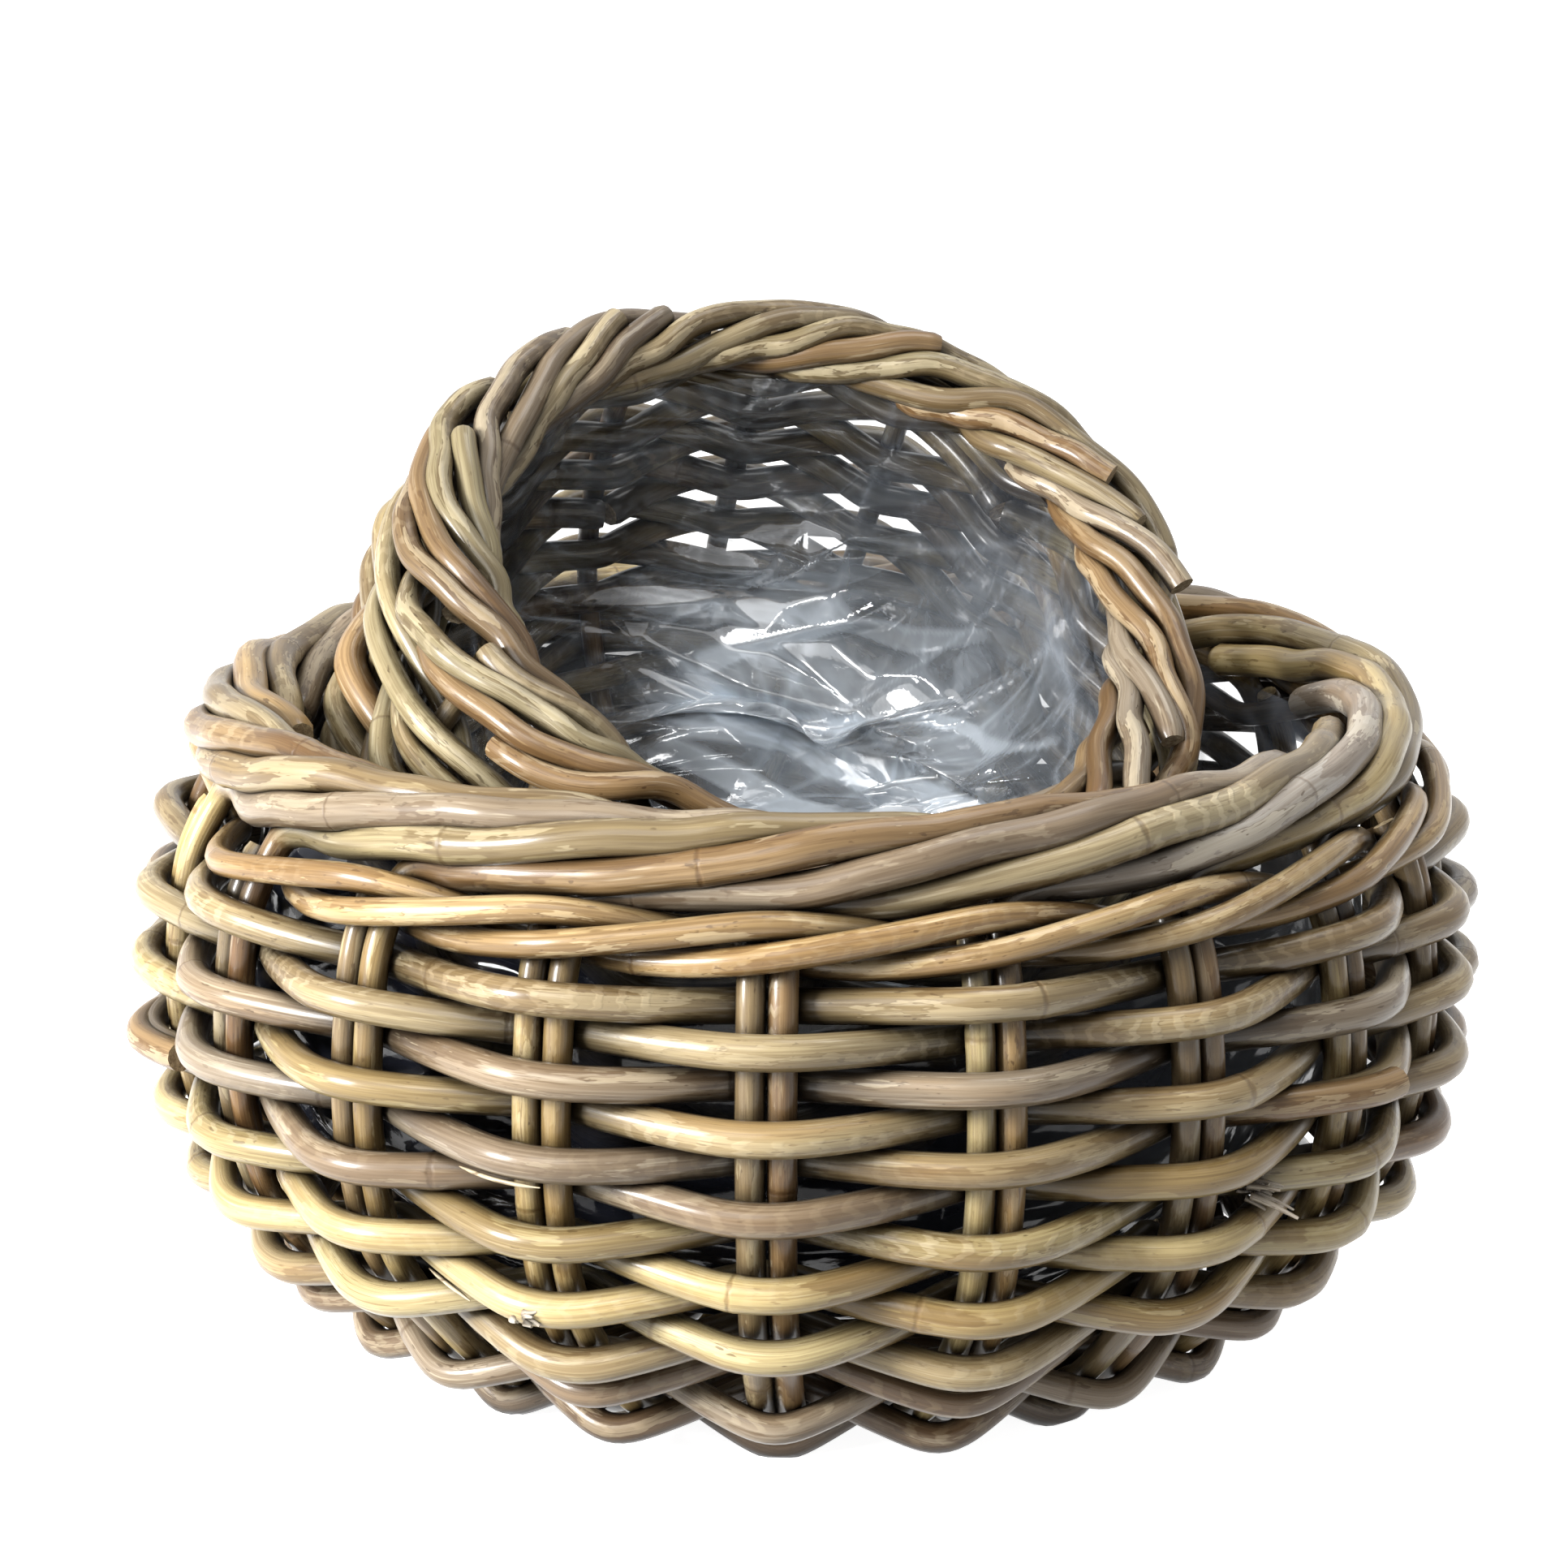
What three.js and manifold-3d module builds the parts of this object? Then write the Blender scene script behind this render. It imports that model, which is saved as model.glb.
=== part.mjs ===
// A nested pair of round rattan planter baskets, each woven from whole canes and lined with clear film.
// Millimetres, +Z up. The origin is the middle of the large basket's underside, where it stands.
import * as THREE from "three";
import { mergeVertices } from "three/addons/utils/BufferGeometryUtils.js";
import Module from "manifold-3d";

const wasm = await Module();
wasm.setup();

// Driving dimensions. A profile runs through the middle of the woven wall, from the base's centre
// to the border, as [radius, height]. The weave, the border and the liner all follow it.
const LARGE = {
  label: "large",
  canesEachWay: 5,
  paired: true,
  tailTurn: 1,
  uprightDia: 7.8,
  weaverDia: 9.6,
  baseCaneDia: 7.4,
  waleDia: 6.4,
  rows: 11,
  rowPitch: 10.3,
  footPitch: 11.4,
  baseInnerRadius: 106,
  borderRadius: 169,
  borderHeight: 182,
  profile: [[0, 10.4], [128, 10.4], [162, 37], [184.5, 74], [189, 106], [185, 145], [173.5, 168]],
  linerFolds: 7,
  linerLift: 5,
  cane: 0xa08a63,
};
const SMALL = {
  label: "small",
  canesEachWay: 4,
  paired: false,
  tailTurn: -1,
  uprightDia: 7.0,
  weaverDia: 8.4,
  baseCaneDia: 6.6,
  waleDia: 5.8,
  rows: 11,
  rowPitch: 9.3,
  footPitch: 8.8,
  baseInnerRadius: 58,
  borderRadius: 110.8,
  borderHeight: 171,
  profile: [[0, 11.6], [67, 11.6], [98, 35], [116.5, 70], [120.5, 102], [118, 138], [112.3, 157]],
  linerFolds: 6,
  linerLift: 2,
  cane: 0x93805c,
};

// The small basket lies tipped in the large one, its mouth turned to the front and a little to the right.
const SMALL_TILT = THREE.MathUtils.degToRad(38.5);
const SMALL_HEADING = THREE.MathUtils.degToRad(19);
const SMALL_MOUTH = new THREE.Vector3(-1, -19, 215.5);
const LARGE_HEADING = THREE.MathUtils.degToRad(-3);

// Construction values shared by both baskets.
const SIDES = 5;
const TOUCH_GAP = 0.4;
const SEAM_GAP = 1.2;
const BEND_REACH = 9;
const STRANDS_IN_BORDER = 5;
const STRAND_TWIST = THREE.MathUtils.degToRad(60);
const TAIL_STEPS = 7;
const FILM = 0.9;
const FILM_COLOUR = 0xdfe6ee;
const WALE_CANES = 3;
const WALE_START = 11;
const SEAM_STEP = 7;
const LINER_SEGMENTS = 24;

// A path whose corners are exactly the points given.
class CanePath extends THREE.Curve {
  constructor(points) {
    super();
    this.points = points;
  }

  getPoint(t, target = new THREE.Vector3()) {
    const place = t * (this.points.length - 1);
    const i = Math.min(Math.floor(place), this.points.length - 2);
    return target.lerpVectors(this.points[i], this.points[i + 1], place - i);
  }

  getPointAt(u, target) {
    return this.getPoint(u, target);
  }

  getTangentAt(u, target) {
    return this.getTangent(u, target);
  }
}

// A length of round cane along the points.
function cane(points, diameter) {
  const section = new THREE.Shape();
  for (let i = 0; i < SIDES; i++) {
    const turn = (2 * Math.PI * i) / SIDES;
    const x = (diameter / 2) * Math.cos(turn);
    const y = (diameter / 2) * Math.sin(turn);
    if (i === 0) section.moveTo(x, y);
    else section.lineTo(x, y);
  }
  return new THREE.ExtrudeGeometry(section, {
    steps: points.length - 1,
    extrudePath: new CanePath(points),
    bevelEnabled: false,
  });
}

function solid(geometry) {
  const bare = geometry.clone();
  bare.deleteAttribute("normal");
  bare.deleteAttribute("uv");
  const merged = mergeVertices(bare, 1e-3);
  return new wasm.Manifold(
    new wasm.Mesh({
      numProp: 3,
      vertProperties: merged.attributes.position.array,
      triVerts: new Uint32Array(merged.index.array),
    }),
  );
}

// The geometry with everything below the standing surface trimmed away.
function trimmedFlat(geometry) {
  const reach = 1000;
  const below = new THREE.BoxGeometry(reach, reach, reach).translate(0, 0, -reach / 2);
  const mesh = solid(geometry).subtract(solid(below)).getMesh();
  return new THREE.BufferGeometry()
    .setAttribute("position", new THREE.BufferAttribute(mesh.vertProperties, 3))
    .setIndex(new THREE.BufferAttribute(mesh.triVerts, 1));
}

// The middle of a basket's woven wall, as straight stretches between the profile's corners.
class Wall {
  constructor(spec) {
    this.corners = spec.profile.map(([r, z]) => new THREE.Vector2(r, z));
    this.arcs = [0];
    this.faces = [];
    for (let i = 1; i < this.corners.length; i++) {
      const along = this.corners[i].clone().sub(this.corners[i - 1]);
      this.arcs.push(this.arcs[i - 1] + along.length());
      this.faces.push(new THREE.Vector2(along.y, -along.x).normalize());
    }
    this.bends = this.corners.map((corner, i) => {
      const before = this.faces[Math.max(i - 1, 0)];
      const after = this.faces[Math.min(i, this.faces.length - 1)];
      return before.clone().add(after).normalize();
    });
    this.length = this.arcs.at(-1);
  }

  // Radius, height and outward normal at an arc length from the base's centre.
  at(s) {
    let i = this.arcs.findIndex((arc) => arc >= s) - 1;
    if (i < 0) i = s <= 0 ? 0 : this.corners.length - 2;
    const done = s - this.arcs[i];
    const left = this.arcs[i + 1] - s;
    const place = this.corners[i].clone().lerp(this.corners[i + 1], done / (done + left));
    const bend = done < left ? this.bends[i] : this.bends[i + 1];
    const straight = Math.min(Math.min(done, left) / BEND_REACH, 1);
    const normal = bend.clone().lerp(this.faces[i], straight).normalize();
    return { place, normal };
  }

  radius(s) {
    return this.at(s).place.x;
  }

  // A point of the wall, moved outwards along its normal and sideways along the tangent.
  point(s, angle, outwards = 0, sideways = 0) {
    const { place, normal } = this.at(s);
    const r = place.x + normal.x * outwards;
    const z = place.y + normal.y * outwards;
    return new THREE.Vector3(
      r * Math.cos(angle) - sideways * Math.sin(angle),
      r * Math.sin(angle) + sideways * Math.cos(angle),
      z,
    );
  }
}

// One basket as a group of named canes and its liner.
function basket(spec) {
  const group = new THREE.Group();
  const wall = new Wall(spec);
  const arms = 4 * spec.canesEachWay;
  const step = (2 * Math.PI) / arms;
  const firstArm = spec.canesEachWay % 2 === 0 ? step / 2 : 0;
  const pairOffset = spec.paired ? spec.uprightDia / 2 + TOUCH_GAP / 2 : 0;
  const caneFinish = new THREE.MeshStandardMaterial({ color: spec.cane, roughness: 0.5 });
  const filmFinish = new THREE.MeshStandardMaterial({
    color: FILM_COLOUR, roughness: 0.1, transparent: true, opacity: 0.3,
  });

  function add(name, geometry, finish = caneFinish) {
    const mesh = new THREE.Mesh(geometry, finish);
    mesh.name = spec.label + "_" + name;
    group.add(mesh);
  }

  // How far a cane of some diameter runs from the wall's middle where it passes an upright.
  function passHeight(diameter) {
    return (spec.uprightDia + diameter) / 2 + TOUCH_GAP;
  }

  // The border is a rope of strands: each upright's end joins it from below, winds out, over and in.
  const strandRadius = (spec.uprightDia / 2 / Math.sin(STRAND_TWIST / 2)) * 1.15;

  function strandPoint(armAngle, spacings) {
    const turn = -Math.PI / 2 + STRAND_TWIST * spacings;
    const angle = armAngle + spec.tailTurn * step * spacings;
    const r = spec.borderRadius + strandRadius * Math.cos(turn);
    return new THREE.Vector3(
      r * Math.cos(angle),
      r * Math.sin(angle),
      spec.borderHeight + strandRadius * Math.sin(turn),
    );
  }

  function borderTail(armAngle) {
    const first = 0.24;
    const points = [];
    for (let i = 0; i <= TAIL_STEPS; i++) {
      const spacings = first + ((STRANDS_IN_BORDER - 0.05 - first) * i) / TAIL_STEPS;
      points.push(strandPoint(armAngle, spacings));
    }
    return points;
  }

  // Uprights: canes laid across the base in two crossed layers, then fanned out and turned up the wall.
  const lanesWide = spec.paired ? 2 : 1;
  const matPitch = lanesWide * spec.uprightDia + (lanesWide + 1) * TOUCH_GAP;
  const matHalf = (spec.canesEachWay * matPitch) / 2 + spec.uprightDia / 2;
  const layerRise = spec.uprightDia / 2 + TOUCH_GAP / 2;
  const baseHeight = spec.profile[0][1];
  const fanStart = matHalf * 1.5;

  function armPoints(angle, layer, sideways) {
    const points = [wall.point(fanStart, angle, layer * layerRise, sideways)];
    for (const s of wall.arcs.slice(1)) {
      points.push(wall.point(s, angle, 0, sideways));
    }
    return points;
  }

  function upright(across, index, side) {
    const lane = index - (spec.canesEachWay - 1) / 2;
    const layer = across === 0 ? -1 : 1;
    const turn = (across * Math.PI) / 2;
    const farAngle = turn + lane * step;
    const nearAngle = turn + Math.PI - lane * step;
    const matHeight = baseHeight - layer * layerRise;
    const farArm = armPoints(farAngle, layer, side * pairOffset);
    const nearArm = armPoints(nearAngle, layer, -side * pairOffset);
    const mat = [-1, 1].map((end) =>
      new THREE.Vector3(end * matHalf, lane * matPitch + side * pairOffset, matHeight)
        .applyAxisAngle(new THREE.Vector3(0, 0, 1), turn),
    );
    if (!spec.paired || side === spec.tailTurn) farArm.push(...borderTail(farAngle));
    if (!spec.paired || side === -spec.tailTurn) nearArm.push(...borderTail(nearAngle));
    return cane([...nearArm.reverse(), ...mat, ...farArm], spec.uprightDia);
  }

  let count = 0;
  for (const across of [0, 1]) {
    for (let index = 0; index < spec.canesEachWay; index++) {
      for (const side of spec.paired ? [-1, 1] : [0]) {
        count += 1;
        add("upright_" + String(count).padStart(2, "0"), upright(across, index, side));
      }
    }
  }

  // The corners of a weaving cane where it passes one upright: two with a flat between them,
  // or one raised corner.
  function flatPass(s, angle, side, height) {
    const flat = (pairOffset + spec.uprightDia / 3) / wall.radius(s);
    return [-flat, flat].map((turn) => wall.point(s, angle + turn, side * height));
  }

  function pointedPass(s, angle, side, height) {
    const run = step * wall.radius(s) - 1.5 * pairOffset;
    let raised = height;
    for (let i = 0; i < 12; i++) {
      const slope = (raised + (spec.paired ? height : raised)) / run;
      raised = height * Math.hypot(1, slope) + pairOffset * slope;
    }
    return [wall.point(s, angle, side * raised)];
  }

  const outsidePass = spec.paired ? flatPass : pointedPass;

  // Wall rows: each cane goes in front of one upright and behind the next, and its ends meet inside.
  const waleTop = wall.length - spec.uprightDia / 2;
  const waleRise = spec.waleDia + 2.5 * TOUCH_GAP;
  const waleLow = waleTop - waleRise - spec.waleDia / 2;
  const firstRow = waleLow - (spec.waleDia + spec.weaverDia) / 2 - 2 * TOUCH_GAP;
  for (let row = 0; row < spec.rows; row++) {
    const s = firstRow - row * spec.rowPitch;
    const height = passHeight(spec.weaverDia);
    const seam = SEAM_STEP * row + 1;
    const gap = SEAM_GAP / wall.radius(s);
    const points = pointedPass(s, firstArm + seam * step + gap, -1, height);
    for (let i = 1; i < arms; i++) {
      const pass = i % 2 === 0 ? pointedPass : outsidePass;
      points.push(...pass(s, firstArm + (seam + i) * step, i % 2 === 0 ? -1 : 1, height));
    }
    points.push(...pointedPass(s, firstArm + seam * step - gap, -1, height));
    add("weaver_row_" + String(row + 1).padStart(2, "0"), cane(points, spec.weaverDia));
  }

  // Base and foot: one cane winds down the foot of the wall and in over the fanned uprights.
  const lastRow = firstRow - (spec.rows - 1) * spec.rowPitch;
  const footTop = lastRow - (spec.weaverDia + spec.baseCaneDia) / 2 - TOUCH_GAP;
  const footLow = spec.baseInnerRadius;
  const turns = Math.floor((footTop - footLow) / spec.footPitch);
  const spiral = [];
  for (let i = 0; i <= turns * arms; i++) {
    const s = footTop - (spec.footPitch * i) / arms;
    const side = (i + Math.floor(i / arms)) % 2 === 0 ? 1 : -1;
    const pass = spec.paired ? flatPass : pointedPass;
    spiral.push(...pass(s, firstArm + i * step, side, passHeight(spec.baseCaneDia) + TOUCH_GAP));
  }
  add("base_weave", cane(spiral, spec.baseCaneDia));

  // Wale: three thin canes under the border, each in front of two uprights and behind the third.
  const waleHeight = passHeight(spec.waleDia) * (spec.paired ? 1.24 : 1.12);
  for (let k = 0; k < WALE_CANES; k++) {
    const points = [];
    const spans = WALE_CANES * Math.floor(arms / WALE_CANES);
    const gap = SEAM_GAP / spec.borderRadius;
    for (let i = 0; i <= spans; i += WALE_CANES) {
      const angle = firstArm + (k + WALE_START + i) * step;
      const end = i === 0 ? gap : i === spans ? -gap : 0;
      points.push(wall.point(waleLow + waleRise / 2, angle + end, -waleHeight));
      if (i === spans) break;
      points.push(wall.point(waleLow, angle + step / 2, 0));
      points.push(wall.point(waleLow, angle + step, waleHeight));
      points.push(wall.point(waleLow + waleRise, angle + 2 * step, waleHeight));
      points.push(wall.point(waleLow + waleRise, angle + 2.5 * step, 0));
    }
    add("wale_cane_" + (k + 1), cane(points, spec.waleDia));
  }

  // Liner: a film bag that hangs inside the weave from under the border, drawn into upright folds.
  const inside = 1.35 * passHeight(spec.weaverDia) + spec.weaverDia / 2 + 1.5;
  const linerTop = waleLow + waleRise / 2;
  const RINGS = 6;
  const outer = [];
  for (let i = 0; i <= RINGS; i++) {
    const s = (linerTop * i) / RINGS;
    const p = wall.point(s, 0, -inside);
    const lift = spec.linerLift * (1 - i / RINGS);
    outer.push(new THREE.Vector2(i === 0 ? 0 : p.x, p.z + lift));
  }
  const inner = outer.map((p, i) => {
    const r = i === 0 ? 0 : p.x - FILM;
    return new THREE.Vector2(r, p.y + (i < RINGS ? FILM : 0));
  });
  const film = new THREE.LatheGeometry([...outer, ...inner.reverse()], LINER_SEGMENTS).rotateX(Math.PI / 2);
  const place = film.getAttribute("position");
  for (let i = 0; i < place.count; i++) {
    const x = place.getX(i);
    const y = place.getY(i);
    const r = Math.hypot(x, y);
    const rise = THREE.MathUtils.smoothstep(place.getZ(i), baseHeight + inside, spec.borderHeight);
    const fold = 0.5 - 0.5 * Math.cos(spec.linerFolds * Math.atan2(y, x));
    const drawn = r < 1 ? 1 : 1 - (fold * rise * spec.weaverDia) / r;
    place.setXY(i, x * drawn, y * drawn);
  }
  add("liner", film, filmFinish);
  return group;
}

const large = basket(LARGE);
const baseWeave = large.getObjectByName("large_base_weave");
baseWeave.geometry = trimmedFlat(baseWeave.geometry);
large.rotation.z = LARGE_HEADING;

const small = basket(SMALL);
const leaning = new THREE.Group();
small.position.z = -SMALL.borderHeight;
leaning.add(small);
leaning.position.copy(SMALL_MOUTH);
leaning.rotation.set(SMALL_TILT, 0, SMALL_HEADING, "ZXY");

const planter = new THREE.Group();
planter.add(large, leaning);

export default planter;
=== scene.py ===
import math
import random
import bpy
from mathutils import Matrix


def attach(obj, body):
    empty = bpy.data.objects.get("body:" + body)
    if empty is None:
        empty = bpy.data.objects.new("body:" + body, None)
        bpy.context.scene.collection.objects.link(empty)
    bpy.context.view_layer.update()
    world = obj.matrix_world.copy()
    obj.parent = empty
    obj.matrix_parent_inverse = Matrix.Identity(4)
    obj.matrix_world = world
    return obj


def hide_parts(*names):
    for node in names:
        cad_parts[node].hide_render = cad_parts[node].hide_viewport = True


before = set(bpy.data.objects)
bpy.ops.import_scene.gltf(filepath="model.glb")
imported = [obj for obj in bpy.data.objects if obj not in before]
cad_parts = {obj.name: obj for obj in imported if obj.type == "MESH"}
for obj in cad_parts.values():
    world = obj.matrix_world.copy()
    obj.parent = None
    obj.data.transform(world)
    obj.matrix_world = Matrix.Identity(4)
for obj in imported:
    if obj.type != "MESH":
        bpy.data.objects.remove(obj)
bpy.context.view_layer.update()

from types import SimpleNamespace

import bpy
import numpy as np
from mathutils import Matrix, Vector
from mathutils.geometry import delaunay_2d_cdt

bl_info = {
    "name": "Nested planter baskets",
    "version": (1, 0, 0),
    "blender": (4, 5, 0),
    "location": "3D View > Sidebar > Planter",
    "description": "Weaves two rattan baskets cane by cane and lines them with film",
    "category": "Object",
}

# Sizes are in metres.
TOUCH_GAP = 0.0004
SEAM_GAP = 0.0012
SEAM_STEP = 7
WALL_ROWS = 11
STUB_DROP = 0.006
# Where the fanned uprights start to turn up, as a share of the base's radius.
FAN_END = 0.95
ARM_POINTS = 40
# A weaver's bends: how far in they reach, their shortest straight run, how often the elbows are rounded and
# the stretch that makes up for the rounding.
INSIDE_REACH = 1.14
SHORTEST_RUN = 0.3
BEND_PASSES = 9
BEND_STRETCH = 1.05
# Points in each spacing, before a path's points are spaced evenly.
ROW_POINTS = 26
BASE_POINTS = 22
# Slow unevenness: how much and over what length, in spacings for a row and in metres for a cane's girth.
ROW_DRIFT = (0.00055, 5.0)
WALE_DRIFT = (0.0003, 6.0)
GIRTH_DRIFT = (0.022, 0.31)
WANDER_SHARES = (1.0, 0.53, 0.31)
WANDER_PEAK = 1.4
# The wale: one cane's way over three spacings as spacings gone, rise and how far out it is.
WALE_CANES = 3
WALE_START = 11
WALE_GAP = 5 * TOUCH_GAP
WALE_PASSES = 26
WALE_STEPS = ((0, 0.5, -1), (0.5, 0, 0), (1, 0, 1), (2, 1, 1), (2.5, 1, 0))
# each_way: uprights or pairs that cross the base each way. bite: how near a row comes to the uprights.
# The last number is painted shade: how light a row's cane is painted where it passes inside, behind the
# uprights.
WEAVES = {
    "large": SimpleNamespace(each_way=5, bite=1, wale_bulge=1.24, inside_painted_shade=0.4),
    "small": SimpleNamespace(each_way=4, bite=0.9, wale_bulge=1.12, inside_painted_shade=0.17),
}
# Where the baskets stand. The small one is placed by the middle of its mouth.
LARGE_TURN = math.radians(-3)
MOUTH = (-0.001, -0.019, 0.2155)
MOUTH_TURN = math.radians(19)
MOUTH_TIP = math.radians(38.5)
MOUTH_HEIGHT = 0.171
# The border ropes. In each spacing a strand turns by twist, the way of lay. It goes on for run spacings, the
# way of tail_turn, every second one for short less and each for up to ragged less. slack: how loose it is.
# strands: how many start in each spacing. flare: how far its end stands out. stray, sway: its unevenness out
# of the rope and round it. shade: what is left of a cane's colour in the rope, partly its own darker colour,
# partly painted shade. The last number is painted shade on the far side: how much darker it is painted there.
BORDERS = {
    "large": SimpleNamespace(
        twist=math.radians(60), run=5, tail_turn=1, short=0, ragged=0.7, lay=1, slack=1.15, strands=1,
        flare=0.0055, stray=0.0011, sway=0.15, shade=0.84, far_painted_shade=0.0,
    ),
    "small": SimpleNamespace(
        twist=math.radians(90), run=3.75, tail_turn=-1, short=1.4, ragged=0.25, lay=-1, slack=1.0, strands=2,
        flare=0.0015, stray=0.0016, sway=0.24, shade=0.74, far_painted_shade=0.25,
    ),
}
STRAND_START = 0.24
STRAND_POINTS = 60
STRAND_TRIM = 0.05
LAID_IN_TRIMS = (0.2, 0.5, 0.8, 1.5)
FLARE_RUN = 0.9
STRAY_WAVE, SWAY_WAVE = 2.6, 3.3
ROPE_EASE = 0.012
# The small border is flatter than round, reaches further in than out, sags on its near left side and is
# tighter on its far side.
ROPE_FLATNESS = 0.82
ROPE_TIGHTENING = 0.2
ROPE_INWARDS = 1.3
ROPE_SAG = 0.010
SAG_SIDE = math.radians(225)

# A swept cane: distance of its rings, their sides, its joints and the rounding of its cut ends.
RING_SPACING = 0.0022
CANE_SIDES = 12
NODE_PITCH = 0.17
NODE_SWELL, NODE_WIDTH = 0.05, 0.0028
END_TAPER, END_REACH = 0.16, 0.22
SMOOTH_ANGLE = math.radians(48)
# How far a cane's own colour may be lighter and warmer than the named one.
LIGHT_SPREAD, WARM_SPREAD = 0.1, 0.04

# Marks of a cane: how much bark scar it shows, how worn it is and how rough.
LOOSE_MARKS = (0.3, 1.0, 0.45)
BASE_MARKS = (0.5, 0.8, 0.4)
WALE_MARKS = (0.25, 0.9, 0.28)
# Loose ends on the large basket: wall row, share of the way round, fibres and their length.
FRAYED_ENDS = ((6, 0.715, 30, 0.0075), (8, 0.849, 8, 0.004))
# Split strips hanging under a row: wall row, share of the way round and length.
LOOSE_STRIPS = ((7, 0.086, 0.042), (4, 0.235, 0.030), (8, 0.815, 0.024))
STRIP_WIDTH = 0.0012
# Where a new length of cane was laid in over the old one: wall row and share of the way round.
SPLICES = ((5, 0.778), (4, 0.452))
FIBRE_RINGS, SPLICE_RINGS = 8, 26
# The large basket's rows from the top: the row at which the colours change, and those above it.
ROW_COLOURS = (
    (3, ("taupe", "mauve", "mauve", "taupe")),
    (6, ("mauve", "straw", "taupe", "straw")),
    (10, ("straw", "pale", "straw", "pale", "brown")),
    (WALL_ROWS, ("mauve", "umber", "taupe")),
)
# Strands of the large border in view, by the place of their upright.
BORDER_COLOURS = {
    8: "taupe", 9: "brown", 10: "taupe", 11: "mauve", 12: "olive", 13: "brown", 14: "mauve", 15: "taupe",
    16: "weathered", 17: "straw",
}
SCARRED_STRAND = 15

# The films: folds round the wall, slack over the base, how far the edge stands over the wall, height of the
# facets, how much painted shade darkens the film and how glossy it is.
FILMS = {
    "large": SimpleNamespace(folds=7, bunch=0.004, rise=0.012, crumple=0.006, painted_shade=1.0, gloss=0.04),
    "small": SimpleNamespace(folds=6, bunch=0.022, rise=0.015, crumple=0.013, painted_shade=0.0, gloss=1.0),
}
FILM_GRID = (400, 190)
FILM_CLEAR = 0.0155
CREASE_WIDTH = 0.0024
RIM_CORNERS = 24
# The side where the film hangs slack; the film's half on this side is also painted as lit.
SLACK_AND_LIT_SIDE = math.radians(8)
FOLD_LIE = math.radians(-20)

LAMP_AIM = Vector((0, 0, 0.14))
# Place, width and watts.
LAMPS = {
    "key": ((-1.65, -0.95, 0.76), 0.55, 95),
    "front": ((-0.6, -1.25, 1.4), 0.9, 15.5),
    "overhead": ((0.38, 0.12, 1.75), 0.8, 11),
    "fill": ((1.3, -1.8, 0.6), 1.2, 0.3),
    "back": ((0.9, 1.2, 1.5), 0.9, 1.5),
}
# How much light the white surround gives, beside 1 where it is seen.
WORLD_LIGHT = 0.505
CAMERA_PLACE = (0, -1.0304, 0.428)
CAMERA_TURN = (math.radians(90 - 14.78), 0, math.radians(0.364))
CAMERA_LENS = 81.14

SIZE_NOTES = {
    "Wall radii": "Radius of the wall's middle at each corner of its profile",
    "Wall heights": "Height of the wall's middle at each corner of its profile",
    "Upright": "Diameter of an upright cane",
    "Weaver": "Diameter of a wall row's cane",
    "Base cane": "Diameter of the cane woven round the base",
    "Wale": "Diameter of a thin cane under the border",
    "Wale lift": "How far the wale stands over the tops of the uprights",
    "First row": "Distance of the highest wall row from the wall's top",
    "Border strand": "Diameter of a strand in the border rope",
    "Row pitch": "Distance between wall rows",
    "Foot pitch": "Distance between turns of the base cane",
    "Base weave start": "Radius where the base cane starts",
    "Border radius": "Radius of the border rope's middle",
    "Border height": "Height of the border rope's middle",
    "Liner lift": "How far the film stands off the base",
}


def size(name, default):
    return bpy.props.FloatProperty(
        name=name, description=SIZE_NOTES[name], default=default, min=0.0001, unit="LENGTH", precision=4
    )


def sizes(name, default):
    return bpy.props.FloatVectorProperty(
        name=name, description=SIZE_NOTES[name], default=default, size=len(default), unit="LENGTH",
        precision=4,
    )


def colour(name, description, default):
    return bpy.props.FloatVectorProperty(
        name=name, description=description, default=default, size=3, min=0, max=1, subtype="COLOR"
    )


class LargeBasketSizes(bpy.types.PropertyGroup):
    """Sizes of the upright basket"""

    radii: sizes("Wall radii", (0, 0.128, 0.162, 0.1845, 0.189, 0.185, 0.1735))
    heights: sizes("Wall heights", (0.0104, 0.0104, 0.037, 0.074, 0.106, 0.145, 0.168))
    upright: size("Upright", 0.0078)
    weaver: size("Weaver", 0.0096)
    base_cane: size("Base cane", 0.0084)
    wale: size("Wale", 0.0076)
    wale_lift: size("Wale lift", 0.003)
    first_row: size("First row", 0.0243)
    strand: size("Border strand", 0.0103)
    row_pitch: size("Row pitch", 0.0103)
    foot_pitch: size("Foot pitch", 0.0114)
    base_inner: size("Base weave start", 0.106)
    border_radius: size("Border radius", 0.169)
    border_height: size("Border height", 0.1797)
    liner_lift: size("Liner lift", 0.005)


class SmallBasketSizes(bpy.types.PropertyGroup):
    """Sizes of the tipped basket"""

    radii: sizes("Wall radii", (0, 0.067, 0.098, 0.1165, 0.1205, 0.118, 0.1123))
    heights: sizes("Wall heights", (0.0116, 0.0116, 0.035, 0.07, 0.102, 0.138, 0.157))
    upright: size("Upright", 0.007)
    weaver: size("Weaver", 0.0101)
    base_cane: size("Base cane", 0.0086)
    wale: size("Wale", 0.0078)
    wale_lift: size("Wale lift", 0.0085)
    first_row: size("First row", 0.0214)
    strand: size("Border strand", 0.0079)
    row_pitch: size("Row pitch", 0.0093)
    foot_pitch: size("Foot pitch", 0.0088)
    base_inner: size("Base weave start", 0.058)
    border_radius: size("Border radius", 0.1085)
    border_height: size("Border height", 0.1725)
    liner_lift: size("Liner lift", 0.002)


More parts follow.
